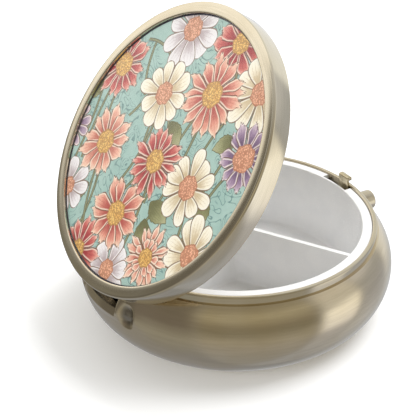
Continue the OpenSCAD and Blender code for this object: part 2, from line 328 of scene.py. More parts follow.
@dataclass(frozen=True)
class GlossPlastic:
    """White moulded plastic, glossy, with a faint ripple from the mould."""

    name: str
    colour: Colour = (0.86, 0.86, 0.865)
    shade: Colour = (0.80, 0.805, 0.82)
    roughness: float = 0.22

    def make(self) -> Material:
        """Builds the material."""
        sh = Shader(self.name)
        ripple = sh.noise(sh.places(), 0.35, 2.0)
        grain = sh.noise(sh.places(), 5.0, 3.0, 0.6)
        tone = sh.mix(ripple.ramp(0.35, 0.7, 0.0, 0.5), self.colour, self.shade)
        rough = grain.ramp(0.3, 0.7, self.roughness - 0.04, self.roughness + 0.06)
        relief = sh.bump(ripple, 0.006, 0.4)
        relief = sh.bump(grain, 0.0008, 0.4, relief)
        return sh.surface(Base_Color=tone, Roughness=rough, Normal=relief, Coat_Weight=0.25,
                          Coat_Roughness=0.08)


@dataclass(frozen=True)
class ClearResin:
    """Clear cast dome: what is under it shows, and its skin mirrors a little."""

    name: str
    skin: Colour = (0.97, 0.97, 0.98)
    mirror: float = 0.03
    roughness: float = 0.06

    def make(self) -> Material:
        """Builds the material."""
        sh = Shader(self.name)
        dimple = sh.noise(sh.places(), 0.25, 1.0)
        relief = sh.bump(dimple, 0.004, 0.3)
        haze = dimple.ramp(0.3, 0.7, self.roughness - 0.02, self.roughness + 0.02)
        skin = sh.node("BsdfPrincipled", {"Base Color": self.skin, "Metallic": 1.0,
                                          "Roughness": haze, "Normal": relief})
        clear = sh.node("BsdfTransparent", {"Color": (1.0, 1.0, 1.0)})
        facing = sh.node("LayerWeight", {"Blend": 0.5}, "Facing")
        share = facing ** 5 * 0.9 + self.mirror
        return sh.finish(sh.node("MixShader", {0: share, 1: clear, 2: skin}))


@dataclass(frozen=True)
class PaperGround:
    """Printed ground of the card: a mint colour with fine curling lines."""

    name: str
    ground: Colour = (0.355, 0.535, 0.485)
    pale: Colour = (0.45, 0.62, 0.565)
    line: Colour = (0.16, 0.29, 0.28)

    def make(self) -> Material:
        """Builds the material."""
        sh = Shader(self.name)
        here = sh.places()
        cloud = sh.noise(here, 0.22, 3.0, 0.6)
        curl = sh.noise(here, 0.34, 0.0, 0.5, 1.6)
        level = (curl * 5.0).math("FRACT")
        line = (level - 0.5).size().ramp(0.05, 0.15, 1.0, 0.0)
        patch = sh.noise(here, 0.28, 1.0).ramp(0.36, 0.48)
        fibre = sh.noise(here, 7.0, 2.0)
        tone = sh.mix(cloud.ramp(0.3, 0.7), self.ground, self.pale)
        tone = sh.mix(line * patch, tone, self.line)
        tone = sh.mix(fibre.ramp(0.35, 0.75, 0.0, 0.14), tone, self.pale)
        return sh.surface(Base_Color=tone, Roughness=fibre.ramp(0.2, 0.8, 0.5, 0.62))


@dataclass(frozen=True)
class PetalInk:
    """Printed petal or leaf: a gradient from base to tip, veins, a pale margin and an outline."""

    name: str
    base: Colour
    middle: Colour
    tip: Colour
    margin: Colour
    outline: Colour
    vein: Colour
    margin_mm: float = 0.38
    outline_mm: float = 0.19
    veins: float = 2.5

    def make(self) -> Material:
        """Builds the material."""
        sh = Shader(self.name)
        here = sh.places()
        edge, along, across = (sh.attribute(n) for n in MARKS)
        wash = sh.noise(here, 1.4, 3.0, 0.6)
        wobble = sh.noise(here, 2.6, 2.0)
        reach_along = (along + (wash - 0.5) * 0.4).ramp(0.12, 1.08)
        tone = sh.gradient(reach_along, ((0, self.base), (0.5, self.middle), (1, self.tip)))
        stripe = ((across * self.veins + (wobble - 0.5) * 0.7) * pi).wave().size()
        vein = stripe.ramp(0.0, 0.34, 1.0, 0.0) * along.ramp(0.6, 0.95, 1.0, 0.0)
        tone = sh.mix(vein * 0.72, tone, self.vein)
        near = edge + (wobble - 0.5) * 0.08
        rim = near.ramp(self.margin_mm * 0.55, self.margin_mm * 1.35, 1.0, 0.0)
        tone = sh.mix(rim * along.ramp(0.0, 0.25, 0.25, 1.0), tone, self.margin)
        ink = edge.ramp(self.outline_mm * 0.6, self.outline_mm * 1.4, 1.0, 0.0)
        tone = sh.mix(ink, tone, self.outline)
        dots = sh.noise(here, 8.0, 1.0)
        return sh.surface(Base_Color=tone, Roughness=dots.ramp(0.2, 0.8, 0.5, 0.62))


@dataclass(frozen=True)
class DiscInk:
    """Printed heart of a flower: small round florets with dark gaps."""

    name: str
    floret: Colour
    deep: Colour
    gap: Colour

    def make(self) -> Material:
        """Builds the material."""
        sh = Shader(self.name)
        here = sh.places()
        cells = sh.node("TexVoronoi", {"Vector": here, "Scale": 3.4})
        shade = sh.noise(here, 0.9, 2.0)
        tone = sh.mix(shade.ramp(0.35, 0.7), self.floret, self.deep)
        tone = sh.mix(cells.ramp(0.28, 0.6, 0.0, 0.75), tone, self.gap)
        edge = sh.attribute("edge")
        tone = sh.mix(edge.ramp(0.05, 0.3, 0.75, 0.0), tone, self.gap)
        return sh.surface(Base_Color=tone, Roughness=cells * 0.05 + 0.56)


# ---- mesh tools


def clip(value: float) -> float:
    """A value held between 0 and 1."""
    return min(1.0, max(0.0, value))


def swept(bm: BMesh, geom: list, angle: float, steps: int, merge: bool = False,
          centre: Triple = (0, 0, 0), axis: Triple = (0, 0, 1)) -> list:
    """Spins points and edges about an axis, and returns the last copy of them."""
    return bmesh.ops.spin(
        bm, geom=geom, cent=centre, axis=axis, dvec=(0, 0, 0), angle=angle, steps=steps,
        use_merge=merge, use_normal_flip=False, use_duplicate=False)["geom_last"]


def ease(bm: BMesh, geom: list, radius: float, segments: int = 6, affect: str = "EDGES",
         clamp: bool = False) -> None:
    """Rounds edges, or the corners of a wire, by a radius."""
    bmesh.ops.bevel(bm, geom=geom, offset=radius, offset_type="OFFSET", segments=segments,
                    profile=0.5, affect=affect, material=-1, clamp_overlap=clamp)


def cut_flat(bm: BMesh, point: Triple, normal: Triple) -> None:
    """Takes away what lies past a plane, and closes the cut."""
    cut = bmesh.ops.bisect_plane(bm, geom=bm.verts[:] + bm.edges[:] + bm.faces[:], dist=1e-7,
                                 plane_co=point, plane_no=normal, clear_outer=True)
    rim = [e for e in cut["geom_cut"] if isinstance(e, BMEdge)]
    if rim:
        bmesh.ops.holes_fill(bm, edges=rim, sides=0)


def face_out(bm: BMesh) -> None:
    """Turns all faces outwards."""
    bmesh.ops.recalc_face_normals(bm, faces=bm.faces[:])


def to_metres(bm: BMesh) -> None:
    """Shrinks a mesh that was drawn in millimetres."""
    bmesh.ops.scale(bm, vec=(MM, MM, MM), verts=bm.verts[:])


class Section:
    """The half section of a turned piece, drawn as a wire in millimetres, r outwards and z up."""

    def __init__(self, r: float, z: float) -> None:
        self.mesh = bmesh.new()
        self.first = self.last = self.mesh.verts.new((r, 0, z))
        self.rounds: list[tuple[BMVert, float]] = []

    def line(self, r: float, z: float, rounded: float = 0.0) -> "Section":
        """Draws a straight line to r, z, whose end is rounded later by that radius."""
        point = self.mesh.verts.new((r, 0, z))
        self.mesh.edges.new((self.last, point))
        self.last = point
        if rounded:
            self.rounds.append((point, rounded))
        return self

    def lines(self, *points: Sequence[float]) -> "Section":
        """Draws several straight lines, each to r, z and perhaps with a radius."""
        for point in points:
            self.line(*point)
        return self

    def arc(self, r: float, z: float, angle: float, steps: int) -> "Section":
        """Draws an arc in radians about the centre r, z, anticlockwise when it is positive."""
        self.last = swept(self.mesh, [self.last], angle, steps, False, (r, 0, z), (0, -1, 0))[0]
        return self

    def close(self) -> "Section":
        """Joins the end to the start."""
        self.mesh.edges.new((self.last, self.first))
        return self

    def turned(self, steps: int) -> BMesh:
        """Spins the section right round.

        Args:
            steps: pieces in the full turn.

        Returns:
            The closed mesh, in metres, with turn and path attributes on its points.
        """
        bm = self.mesh
        for radius in sorted({r for _, r in self.rounds}):
            ease(bm, [v for v, r in self.rounds if r == radius], radius, affect="VERTICES")
        outline = self._outline()
        swept(bm, bm.verts[:] + bm.edges[:], FULL_TURN, steps, True)
        bmesh.ops.remove_doubles(bm, verts=bm.verts[:], dist=CLOSE)
        face_out(bm)
        self._mark(bm, outline)
        to_metres(bm)
        return bm

    def _outline(self) -> list[Triple]:
        """The section's points in order, each as r, z and its distance along the wire."""
        self.mesh.verts.ensure_lookup_table()
        ends = [v for v in self.mesh.verts if len(v.link_edges) == 1]
        here = min(ends or self.mesh.verts[:], key=lambda v: (v.co.z, v.co.x))
        seen, run, points = {here}, 0.0, [(here.co.x, here.co.z, 0.0)]
        while True:
            following = [e.other_vert(here) for e in here.link_edges
                         if e.other_vert(here) not in seen]
            if not following:
                return points
            after = following[0]
            run += (after.co - here.co).length
            points.append((after.co.x, after.co.z, run))
            seen.add(after)
            here = after

    @staticmethod
    def _mark(bm: BMesh, outline: Sequence[Triple]) -> None:
        """Stores how far round and how far along the section each point is."""
        turn = bm.verts.layers.float.new("turn")
        path = bm.verts.layers.float.new("path")
        known: dict[Pair, float] = {}
        for v in bm.verts:
            r, z = hypot(v.co.x, v.co.y), v.co.z
            key = (round(r * 500), round(z * 500))
            if key not in known:
                known[key] = min(outline, key=lambda p: (p[0] - r) ** 2 + (p[1] - z) ** 2)[2]
            v[path] = known[key]
            v[turn] = atan2(v.co.y, v.co.x) / FULL_TURN


def box_mesh(low: Sequence[float], high: Sequence[float]) -> BMesh:
    """A block from its two corners in millimetres, as a mesh in metres."""
    bm = bmesh.new()
    bmesh.ops.create_cube(bm, size=1.0)
    size = [(h - l) * MM for l, h in zip(low, high)]
    middle = [(h + l) / 2 * MM for l, h in zip(low, high)]
    bmesh.ops.scale(bm, vec=size, verts=bm.verts[:])
    bmesh.ops.translate(bm, vec=middle, verts=bm.verts[:])
    return bm


def linked(name: str, data: bpy.types.ID) -> Object:
    """A new object in the scene."""
    made = bpy.data.objects.new(name, data)
    bpy.context.scene.collection.objects.link(made)
    return made


def smooth(piece: Object, sharp: float) -> None:
    """Shades a piece smooth but for edges sharper than sharp degrees."""
    piece.data.shade_smooth()
    piece.data.set_sharp_from_angle(angle=radians(sharp))


def to_object(bm: BMesh, name: str, sharp: float = 32.0) -> Object:
    """Makes a smooth object of a mesh."""
    mesh = bpy.data.meshes.new(name)
    bm.to_mesh(mesh)
    bm.free()
    made = linked(name, mesh)
    smooth(made, sharp)
    return made


def carve(target: Object, cutters: Sequence[BMesh], sharp: float = 32.0) -> None:
    """Takes the cutters' solids out of a piece, one by one."""
    for bm in cutters:
        tool = to_object(bm, "cutter")
        cut = target.modifiers.new("cut", "BOOLEAN")
        cut.operation, cut.solver, cut.object = "DIFFERENCE", "EXACT", tool
        bpy.context.view_layer.update()
        graph = bpy.context.evaluated_depsgraph_get()
        result = bpy.data.meshes.new_from_object(target.evaluated_get(graph))
        target.modifiers.remove(cut)
        old, target.data = target.data, result
        for mesh in (old, tool.data):
            bpy.data.meshes.remove(mesh)
    target.data.name = target.name
    smooth(target, sharp)


def dress(piece: Object, finish: Material) -> None:
    """Gives a piece one material."""
    piece.data.materials.clear()
    piece.data.materials.append(finish)


def place(piece: Object, finish: Material, slot: Slot, body: Body,
          stands_for: Sequence[str] = ()) -> None:
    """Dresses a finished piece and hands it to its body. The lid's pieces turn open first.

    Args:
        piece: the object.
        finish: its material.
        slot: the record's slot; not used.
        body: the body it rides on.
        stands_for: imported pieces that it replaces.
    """
    if body is Body.LID:
        piece.data.transform(OPENED)
    dress(piece, finish)
    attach(piece, body.value)
    if stands_for:
        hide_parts(*stands_for)
    LOG.info("%s: %d faces on %s", piece.name, len(piece.data.polygons), body.value)


# ---- base


@dataclass
class BaseShell:
    """The bulging pressed shell, with its notch, raised cheeks and the pocket in each."""

    outer_r: float = measured("base_shell", 0)
    bulge_r: float = 8.4
    bulge_z: float = 7.6
    wall: float = 0.7
    shoulder_z: float = measured("base_shell", 2)
    neck_r: float = measured("neck_collar", 0)
    cheek_r: float = 18.5
    cheek_y: float = 7.05
    cheek_section: float = 2.95
    cheek_z: float = 8.55
    cheek_soft: float = 0.22
    cheek_end: float = 11.5
    cheek_fade: float = 2.0
    back_y: float = 15.0
    notch_half: float = 4.7
    sill_z: float = 9.0
    lip_roll: float = 0.7
    pocket_turn: float = 16.4
    pocket_half_w: float = 1.45
    pocket_half_h: float = 1.85
    pocket_z: float = 8.75
    pocket_depth: float = 0.6
    pocket_power: float = 2.6
    pocket_slope: float = 0.75
    fine_x: float = 12.0
    fine_y: float = 19.0
    fine_z: Pair = (4.5, 13.0)
    hole_gap: float = 0.25
    steps: int = 384

    @property
    def bulge_x(self) -> float:
        """Radius at which the bulge's section is centred."""
        return self.outer_r - self.bulge_r

    def height_above_cheek(self, point: Vector) -> float:
        """Distance from the cheeks' surface, less than 0 inside it, in millimetres."""
        flat = hypot(point.x, point.y - self.cheek_y)
        ring = self.cheek_r - self.cheek_section
        return hypot(flat - ring, point.z - self.cheek_z) - self.cheek_section

    def raise_cheeks(self, bm: BMesh) -> None:
        """Presses the cheeks out of the wall, with a soft run-out."""
        recess = bm.verts.layers.float.new("recess")
        for v in bm.verts:
            p = v.co / MM
            beyond = hypot(p.x, p.y) - self.bulge_x
            if p.y < self.back_y or abs(p.x) > self.cheek_end or beyond < 0:
                continue
            radial = Vector((p.x, p.y, 0)).normalized()
            pocket, roll = self.sink(p)
            # the pocket's depth, which the body metal turns into painted shade
            v[recess] = pocket / self.pocket_depth
            v.co -= radial * ((pocket + roll) * MM)
            if hypot(beyond, p.z - self.bulge_z) < self.bulge_r - 0.1:
                continue  # the inner face keeps its curve
            depth = -self.height_above_cheek(p)
            push = 0.5 * (depth + sqrt(depth * depth + self.cheek_soft ** 2))
            fade = clip((self.cheek_end - abs(p.x)) / self.cheek_fade)
            if push > 0.004:
                v.co += radial * (push * fade * MM)

    def sink(self, point: Vector) -> Pair:
        """How far the wall lies inwards at a place, for the pockets and for the notch's lips."""
        turn = degrees(atan2(abs(point.x), point.y)) - self.pocket_turn
        across = radians(turn) * hypot(point.x, point.y) / self.pocket_half_w
        up = (point.z - self.pocket_z) / self.pocket_half_h
        power = self.pocket_power
        ring = (abs(across) ** power + abs(up) ** power) ** (1 / power)
        slope = clip((1.2 - ring) / self.pocket_slope)
        pocket = self.pocket_depth * slope * slope * (3 - 2 * slope)
        past = clip((self.notch_half + self.lip_roll - abs(point.x)) / self.lip_roll)
        above = clip((point.z - self.sill_z + 1.2) / 1.2)
        return pocket, self.lip_roll * (1 - sqrt(1 - past * past * 0.96)) * above

    def refine(self, bm: BMesh) -> None:
        """Divides the faces round the cheeks, so that they can be shaped."""
        low, high = (z * MM for z in self.fine_z)
        near = {v for v in bm.verts
                if v.co.y > self.fine_y * MM and abs(v.co.x) < self.fine_x * MM
                and low < v.co.z < high and hypot(v.co.x, v.co.y) > (self.neck_r + 0.3) * MM}
        edges = [e for e in bm.edges if near.issuperset(e.verts)]
        bmesh.ops.subdivide_edges(bm, edges=edges, cuts=3, use_grid_fill=True)

    def build(self) -> Object:
        """Turns the shell, shapes its cheeks and cuts its openings."""
        inner_r = self.bulge_r - self.wall
        rise = asin((self.shoulder_z - self.bulge_z) / self.bulge_r)
        fall = asin(self.bulge_z / self.bulge_r)
        inner_rise = acos((self.neck_r - self.bulge_x) / inner_r)
        inner_fall = asin((self.bulge_z - self.wall) / inner_r)
        section = Section(0, 0).line(self.bulge_x + self.bulge_r * cos(fall), 0)
        section.arc(self.bulge_x, self.bulge_z, fall + rise, 56)
        section.lines((self.neck_r, self.shoulder_z),
                      (self.neck_r, self.bulge_z + inner_r * sin(inner_rise)))
        section.arc(self.bulge_x, self.bulge_z, -(inner_rise + inner_fall), 40)
        bm = section.line(0, self.wall).turned(self.steps)
        self.refine(bm)
        self.raise_cheeks(bm)
        shell = to_object(bm, "shell_wall")
        notch = box_mesh((-self.notch_half, 18, self.sill_z), (self.notch_half, 30, 60))
        hole = (reach("push_button", 0) + self.hole_gap) * MM
        bore = bmesh.new()
        bmesh.ops.create_cone(
            bore, cap_ends=True, segments=64, radius1=hole, radius2=hole, depth=10 * MM,
            matrix=Matrix.Translation((0, -25 * MM, mid_height("push_button") * MM))
            @ Matrix.Rotation(pi / 2, 4, "X"))
        carve(shell, [notch, bore])
        return shell


@dataclass
class NeckCollar:
    """The straight metal neck that stands out of the shoulder."""

    outer_r: float = measured("neck_collar", 0)
    top_z: float = measured("neck_collar", 2)
    low_z: float = measured("neck_collar", 2, -1)
    wall: float = 0.75

    def build(self) -> Object:
        """Turns the collar."""
        inner = self.outer_r - self.wall
        section = Section(self.outer_r, self.low_z).lines(
            (self.outer_r, self.top_z, 0.26), (inner, self.top_z, 0.2), (inner, self.low_z))
        return to_object(section.close().turned(320), "neck_band")


# ---- tray


@dataclass
class Tray:
    """The white tray: tapered wall, rim, three pockets between dividers."""

    mouth_r: float = 20.05
    floor_r: float = 18.9
    floor_z: float = 3.3
    low_z: float = measured("pill_tray", 2, -1)
    top_z: float = measured("pill_tray", 2)
    rim_r: float = measured("pill_tray", 0)
    rim_t: float = 0.7
    wall: float = 0.6
    divider_t: float = 0.7
    divider_z: float = 13.6
    divider_turns: tuple[float, ...] = (90.0, 210.0, 330.0)
    bay_y: float = 19.35
    bay_half: float = 6.5
    bay_top: float = 13.35
    fillet: float = 0.55
    gap_r: Pair = (20.4, 23)
    gap_z: Pair = (13, 16)
    gap_x: Pair = (-1.6, 4.1)
    hook_gap: float = 0.4
    hook_bay: Triple = (-20.4, 7, 20)
    stem_bay: Triple = (-20.05, 8.5, 11.2)
    stem_half: float = 1.3

    @property
    def slope(self) -> float:
        """How much the wall widens for each millimetre upwards."""
        return (self.mouth_r - self.floor_r) / (self.top_z - self.floor_z)

    def pocket(self, turn: float) -> BMesh:
        """The solid of one compartment, from one divider to the next, with eased corners."""
        bm = bmesh.new()
        lean = asin(self.divider_t / 2 / (self.floor_r + 0.5))
        top = self.divider_z + 0.3

        def point(r: float, angle: float, z: float) -> BMVert:
            """A point from its radius, angle and height."""
            return bm.verts.new((r * cos(angle), r * sin(angle), z))

        start = radians(turn) + lean
        low = point(self.floor_r, start, self.floor_z)
        high = point(self.floor_r + self.slope * (top - self.floor_z), start, top)
        last = swept(bm, [low, high, bm.edges.new((low, high))], radians(120) - 2 * lean, 44)
        far_low, far_high = sorted((v for v in last if isinstance(v, BMVert)),
                                   key=lambda v: v.co.z)
        inset = self.divider_t / 2 / sin(radians(60))
        near_low, near_high = (point(inset, radians(turn + 60), z) for z in (self.floor_z, top))
        bm.faces.new((low, near_low, near_high, high))
        bm.faces.new((near_low, far_low, far_high, near_high))
        bmesh.ops.holes_fill(bm, edges=[e for e in bm.edges if e.is_boundary], sides=0)
        face_out(bm)
        corners = [e for e in bm.edges
                   if (abs(e.verts[0].co.z - e.verts[1].co.z) > 5
                       and {low, far_low, near_low} & set(e.verts))
                   or all(abs(v.co.z - self.floor_z) < CLOSE for v in e.verts)]
        ease(bm, corners, self.fillet, 5, clamp=True)
        to_metres(bm)
        cut_flat(bm, (0, (self.bay_y - self.wall) * MM, 0), (0, 1, 0))
        face_out(bm)
        return bm

    def rim_gap(self) -> BMesh:
        """The gap in the rim beside the hook."""
        (r0, r1), (z0, z1), (x0, x1) = self.gap_r, self.gap_z, self.gap_x
        bm = Section(r0, z0).lines((r1, z0), (r1, z1), (r0, z1)).close().turned(320)
        for x, normal in ((x0, (-1, 0, 0)), (x1, (1, 0, 0)), (0, (0, 1, 0))):
            cut_flat(bm, (x * MM, 0, 0), normal)
        face_out(bm)
        return bm

    def build(self) -> Object:
        """Turns the tray's outside and cuts its pockets, gap and bays."""
        under_rim = self.top_z - self.rim_t
        outside = self.floor_r + self.wall
        section = Section(0, self.low_z).lines(
            (self.floor_r, self.low_z), (outside, self.floor_z),
            (outside + self.slope * (under_rim - self.floor_z), under_rim),
            (self.rim_r, under_rim), (self.rim_r, self.top_z, 0.18), (0, self.top_z))
        tray = to_object(section.turned(256), "compartment_tray")
        lip_r, lip_z = self.mouth_r + 0.19, self.top_z - 0.2
        mouth = Section(0, self.divider_z).lines(
            (self.mouth_r - 0.08, self.divider_z), (self.mouth_r - 0.01, lip_z))
        mouth.arc(lip_r, lip_z, -pi / 2, 5).lines((lip_r, self.top_z + 1), (0, self.top_z + 1))
        hook_half = reach("latch_hook", 0) + self.hook_gap
        carve(tray, [
            mouth.turned(256),
            *(self.pocket(turn) for turn in self.divider_turns),
            box_mesh((-self.bay_half, self.bay_y, 0), (self.bay_half, 26, self.bay_top)),
            self.rim_gap(),
            *(box_mesh((-half, -23, low), (half, y, high)) for half, (y, low, high) in (
                (hook_half, self.hook_bay), (self.stem_half, self.stem_bay))),
        ], 28.0)
        return tray


# ---- latch


@dataclass
class Latch:
    """The hook and its push button."""

    button_r: float = measured("push_button", 0)
    button_end: float = field(default_factory=lambda: -reach("push_button", 1, -1))
    stem_end: float = field(default_factory=lambda: -reach("push_button", 1))
    button_in: float = 24.6
    stem_r: float = 0.6
    edge: float = 0.35
    hook_t: float = 0.45
    nose_z: float = 15.55

    def button(self) -> Object:
        """Turns the button with its stem."""
        bm = Section(0, self.stem_end).lines(
            (self.stem_r, self.stem_end), (self.stem_r, self.button_in),
            (self.button_r, self.button_in, 0.08), (self.button_r, self.button_end, self.edge),
            (0, self.button_end)).turned(96)
        lying = Matrix.Rotation(pi / 2, 4, "X")
        bm.transform(Matrix.Translation((0, 0, mid_height("push_button") * MM)) @ lying)
        return to_object(bm, "thumb_button")

    def hook(self) -> Object:
        """Bends the hook from a strip and eases its edges."""
        low, high = (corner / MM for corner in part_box("latch_hook"))
        half, front, nose, top, foot = high.x, -high.y, -low.y, high.z, low.z
        back = front + self.hook_t
        bm = bmesh.new()
        face = bm.faces.new([bm.verts.new((-half, -y, z)) for y, z in (
            (front, foot), (front, top), (nose, top), (nose, self.nose_z),
            (back, self.nose_z), (back, foot))])
        made = bmesh.ops.extrude_face_region(bm, geom=[face])
        moved = [v for v in made["geom"] if isinstance(v, BMVert)]
        bmesh.ops.translate(bm, verts=moved, vec=(2 * half, 0, 0))
        face_out(bm)
        for y, z, radius in ((front, top, 0.33), (nose, top, 0.22), (nose, self.nose_z, 0.06)):
            ease(bm, [e for e in bm.edges
                      if all(abs(v.co.y + y) < CLOSE and abs(v.co.z - z) < CLOSE for v in e.verts)],
                 radius)
        sides = [e for e in bm.edges if len(e.link_faces) == 2 and e.calc_face_angle(0) > 1.0
                 and all(abs(abs(v.co.x) - half) < CLOSE for v in e.verts)]
        ease(bm, sides, 0.1, 4)
        to_metres(bm)
        return to_object(bm, "catch_hook", 40.0)


# ---- lid


@dataclass
class Lid:
    """The ring that holds the card and its dome. All heights are those of the closed lid."""

    outer_r: float = measured("lid_ring", 0)
    open_edge_z: float = 13.95
    top_z: float = 17.4
    window_r: float = 21.25
    skirt_t: float = 0.5
    face_t: float = 0.45
    crown: float = 0.022
    outer_edge: float = 0.42
    inner_edge: float = 0.14
    card_z: float = 16.85
    dome_edge: float = 0.15
    dome_rise: float = 0.9
    leaf_half: float = 4.0

    def ring(self) -> Object:
        """Turns the ring, with a slightly crowned face and eased edges."""
        inner, under = self.outer_r - self.skirt_t, self.top_z - self.face_t
        outside, lip = self.outer_edge, self.inner_edge
        half = (self.outer_r - outside - self.window_r - lip) / 2
        ball = (half * half + self.crown * self.crown) / (2 * self.crown)
        section = Section(self.window_r, under).lines(
            (inner, under), (inner, self.open_edge_z, 0.12), (self.outer_r, self.open_edge_z, 0.2),
            (self.outer_r, self.top_z - outside))
        section.arc(self.outer_r - outside, self.top_z - outside, pi / 2, 8)
        section.arc(self.window_r + lip + half, self.top_z + self.crown - ball,
                    2 * asin(half / ball), 10)
        section.arc(self.window_r + lip, self.top_z - lip, pi / 2, 5).close()
        ring = to_object(section.turned(384), "lid_band")
        carve(ring, [box_mesh((-self.leaf_half, 18, self.open_edge_z - 1),
                              (self.leaf_half, 26, self.open_edge_z + 1.35))])
        return ring

    def dome(self) -> Object:
        """Turns the clear dome."""
        r = self.window_r - 0.04
        low, edge_z = self.card_z + 0.07, self.card_z + self.dome_edge
        ball = (r * r + self.dome_rise * self.dome_rise) / (2 * self.dome_rise)
        section = Section(0, low).lines((r, low), (r, edge_z))
        section.arc(0, edge_z + self.dome_rise - ball, asin(r / ball), 40)
        return to_object(section.turned(192), "clear_cover", 50.0)

    def card(self) -> Object:
        """Turns the card."""
        r, low = reach("picture_card", 0), self.card_z - 0.2
        section = Section(0, low).lines((r, low), (r, self.card_z), (0, self.card_z))
        return to_object(section.turned(192), "printed_card")


# ---- print


class Kind(Enum):
    """How a flower's petals end."""

    ROUND = "round"
    TOOTHED = "toothed"


@dataclass(frozen=True)
class Flower:
    """One printed flower, placed on the card in millimetres."""

    x: float
    y: float
    radius: float
    petals: int
    ink: str
    heart: str
    kind: Kind
    heart_r: float = 1.9


@dataclass
class Print:
    """The printed flowers, leaves and stems, and a dark ring of painted shade at the window's edge,
    as thin layers of ink on the card.
    """

    card_z: float = 16.85
    gap: float = 0.004
    layer: float = 0.00012
    hidden_r: float = 22.3
    stem_half: float = 0.27
    rim_r: Pair = (21.04, 21.5)
    under_heart: float = 0.7
    petal_turn: float = 0.12
    petal_length: Pair = (0.84, 1.15)
    petal_width: Pair = (0.82, 1.08)
    seed: int = 41
    flowers: tuple[Flower, ...] = (
        Flower(22.2, 5.6, 4.2, 11, "lilac", "golden", Kind.ROUND, 1.2),
        Flower(15.5, 14, 5, 9, "chalk", "salmon", Kind.ROUND, 1.6),
        Flower(-3, 19.5, 5.2, 9, "chalk", "salmon", Kind.ROUND, 1.6),
        Flower(5.5, 20.5, 5.6, 13, "rose", "golden", Kind.TOOTHED, 1.7),
        Flower(-17.5, 9.5, 5.8, 10, "cream", "salmon", Kind.ROUND, 1.8),
        Flower(-4.5, -19.5, 6, 12, "rose", "golden", Kind.TOOTHED, 1.8),
        Flower(-13.5, -15, 6.2, 11, "cream", "salmon", Kind.ROUND, 1.9),
        Flower(-17.2, -6.2, 5.4, 13, "lilac", "salmon", Kind.TOOTHED, 2.1),
        Flower(7, -17.5, 6.3, 10, "chalk", "salmon", Kind.ROUND, 2),
        Flower(-9.5, 14, 5.1, 17, "peach", "golden", Kind.TOOTHED, 1.5),
        Flower(18, -7, 6.1, 14, "rose", "golden", Kind.TOOTHED, 2),
        Flower(-10, 2, 5.6, 10, "cream", "salmon", Kind.ROUND, 1.9),
        Flower(-0.5, 2, 5.8, 15, "rose", "golden", Kind.TOOTHED, 1.9),
        Flower(5.5, -7, 5.7, 10, "cream", "salmon", Kind.ROUND, 1.85),
        Flower(12.5, 4.5, 6.1, 13, "peach", "golden", Kind.TOOTHED, 2),
        Flower(1.5, 12, 6.2, 12, "coral", "golden", Kind.TOOTHED, 2),
        Flower(-4.5, -11, 6.9, 15, "coral", "golden", Kind.TOOTHED, 2.1),
    )
    stems: tuple[tuple[float, float, float, float, float], ...] = (
        (7, -17.5, 10.5, -1, 1.2), (7, -17.5, 0.5, -3, -1), (-4.5, -11, -5.5, 10, 1),
        (-4.5, -11, -3, 8, -0.8), (5.5, -7, 5, 9, 1.5), (18, -7, 16, 9, -0.8),
        (-13.5, -15, -13, 3, 0.6), (-17, -6, -15, 13, -1.4), (-0.5, 2, -4, 17, 0.6),
        (12.5, 4.5, 8, 19, 1), (-10, 2, -9, 15, -0.8), (-4.5, -19.5, -9.5, -9, 0.5),
        (1.5, 12, 0, 22, 0.6), (13.5, -13, 9.5, -5, -0.7),
        (18, -7, 14.2, 12, 0.9), (12.5, 4.5, 5, 20, -1.2), (15.5, -12.5, 8, -12, 0.8),
        (5.5, -7, 0, 9, -1.2), (-10, 2, -14, 12, 0.8), (-13.5, -15, -9, -4, -1),
        (-0.5, 2, 4.5, 16, -0.8), (20, -2, 17.5, 11, 0.5),
    )
    leaves: tuple[tuple[float, float, float, float], ...] = (
        (0.9, -4.2, 5.2, 150), (-4.2, 7.2, 5.6, 168), (-5, 9.6, 5.4, 118),
        (-14.6, 1.2, 5, 104), (20.6, -3.2, 4.4, 70), (-3.4, 18.6, 5, 150),
        (-0.6, 16.4, 4.4, 60), (11, 11.2, 4.2, 60), (-13.8, -7.6, 4.6, 40),
    )

    def __post_init__(self) -> None:
        self.draw = random.Random(self.seed)
        self.level = 0
        self.sheets: dict[str, BMesh] = {}

    def sheet(self, ink: str) -> BMesh:
        """The mesh that gathers all shapes of one ink."""
        if ink not in self.sheets:
            bm = bmesh.new()
            for name in MARKS:
                bm.verts.layers.float.new(name)
            self.sheets[ink] = bm
        return self.sheets[ink]

    def next_z(self) -> float:
        """The height of the next shape, each one a little above the last."""
        self.level += 1
        return self.card_z + self.gap + self.level * self.layer

    def held(self, x: float, y: float, z: float) -> Triple:
        """A place, pulled back to the edge of the hidden margin if it lies past it."""
        share = min(1.0, self.hidden_r / max(hypot(x, y), MM))
        return x * share, y * share, z

    def blade(self, ink: str, at: Pair, turn: float, length: float, start: float,
              half_width: Callable[[float, float], float], bend: float = 0.0,
              cells: tuple[int, int] = (8, 14),
              trim: Callable[[float], float] = lambda across: 0.0) -> list[BMVert]:
        """Adds one petal, leaf or stem.

        Args:
            ink: the sheet it goes on.
            at: where it grows from, in millimetres.
            turn: direction in radians.
            length: length in millimetres.
            start: distance of its base from that place.
            half_width: half of its width for a place along it and a side of -1 or 1.
            bend: how far its tip leans sideways, in millimetres.
            cells: faces across and along.
            trim: share of the length that the tip lacks at a place across.

        Returns:
            The points that it added.
        """
        bm = self.sheet(ink)
        edge, ahead, aside = (bm.verts.layers.float[n] for n in MARKS)
        made = bmesh.ops.create_grid(bm, x_segments=cells[0], y_segments=cells[1], size=1.0)
        z = self.next_z()
        for v in made["verts"]:
            across, along = v.co.x, (v.co.y + 1) / 2
            wide = half_width(along, across)
            side = across * wide + bend * along * along
            out = start + along * length * (1 - trim(across) * along * along)
            v[edge] = min((1 - abs(across)) * wide, (1 - along) * length * 0.9)
            v[ahead], v[aside] = along, across
            v.co = self.held(at[0] + out * cos(turn) - side * sin(turn),
                             at[1] + out * sin(turn) + side * cos(turn), z)
        return made["verts"]

